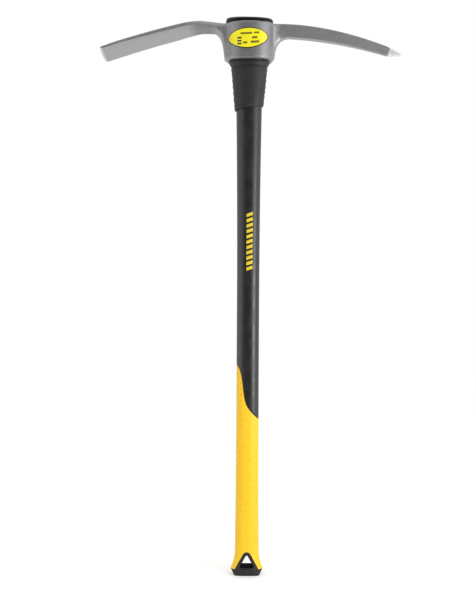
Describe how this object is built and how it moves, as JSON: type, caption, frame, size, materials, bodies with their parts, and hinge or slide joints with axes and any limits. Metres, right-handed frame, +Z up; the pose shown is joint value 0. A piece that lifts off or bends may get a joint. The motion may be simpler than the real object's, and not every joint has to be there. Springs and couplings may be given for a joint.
{
  "type": "pick mattock",
  "caption": "Pick mattock with a forged head, an adze blade and a pick point, on a long straight fibreglass handle with a soft grip and a hang hole.",
  "frame": {"origin": "centre of the flat bottom face of the butt knob", "axes": "+Z up along the handle to the head, +X towards the pick point, -X towards the adze, -Y towards the label"},
  "size_m": [0.4942, 0.0766, 0.914],
  "materials": {
    "forged_steel": "satin grey forging with bright ground edges",
    "black_plastic": "moulded, satin",
    "black_rubber": "moulded, matt, ribbed sides",
    "yellow_rubber": "soft touch, satin",
    "fibreglass": "pultruded rod",
    "epoxy": "cast",
    "label_film": "printed film"
  },
  "bodies": {
    "root": {"mattock_head": "forged_steel", "eye_bond": "epoxy", "eye_block": "black_plastic", "top_cap": "black_plastic", "fibreglass_core": "fibreglass", "shaft_jacket": "black_plastic", "head_collar": "black_rubber", "grip_sleeve": "yellow_rubber", "butt_knob": "black_plastic", "head_label": "label_film"}
  },
  "joints": []
}
